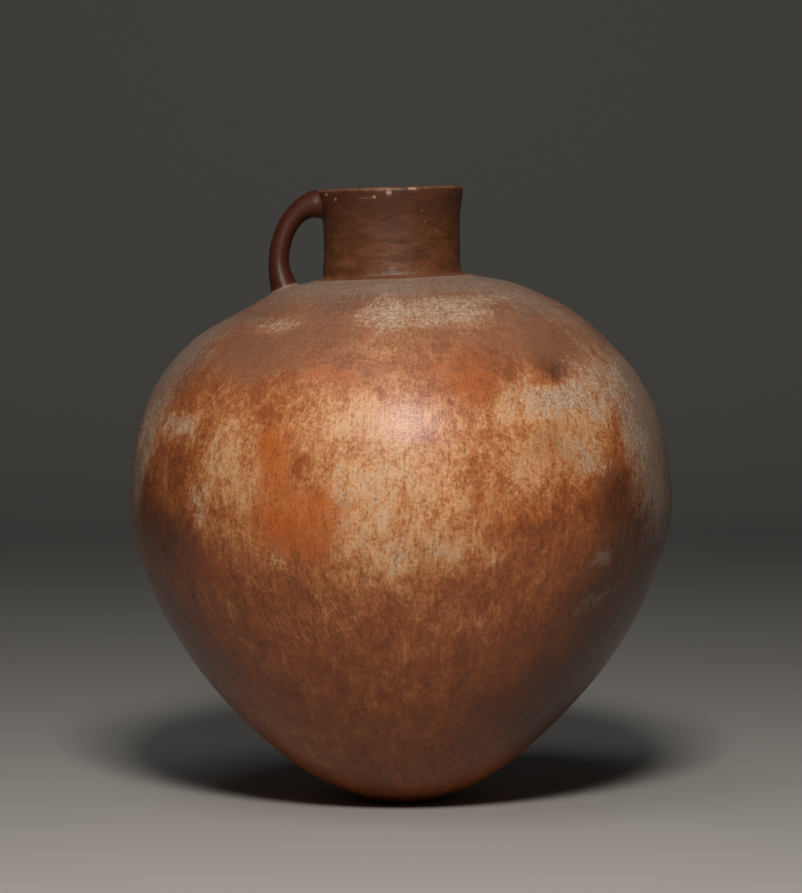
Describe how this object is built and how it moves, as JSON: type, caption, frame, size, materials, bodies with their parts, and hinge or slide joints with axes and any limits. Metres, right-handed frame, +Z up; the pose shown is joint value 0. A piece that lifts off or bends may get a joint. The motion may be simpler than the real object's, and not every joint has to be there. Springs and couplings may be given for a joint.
{
  "type": "jug",
  "caption": "Wide-shouldered burnished pottery jug that narrows to a small base, with a short neck and a loop handle from rim to shoulder, hollow and open at the mouth.",
  "frame": {"origin": "middle of the small flat underside that the jug stands on", "axes": "+Z up through the body, -X towards the handle, -Y towards the side the picture shows"},
  "size_m": [0.3686, 0.3686, 0.4191],
  "materials": {
    "burnished_clay": "red slip burnished to a soft shine, worn to buff clay in places"
  },
  "bodies": {
    "root": {"jug": "burnished_clay"}
  },
  "joints": []
}
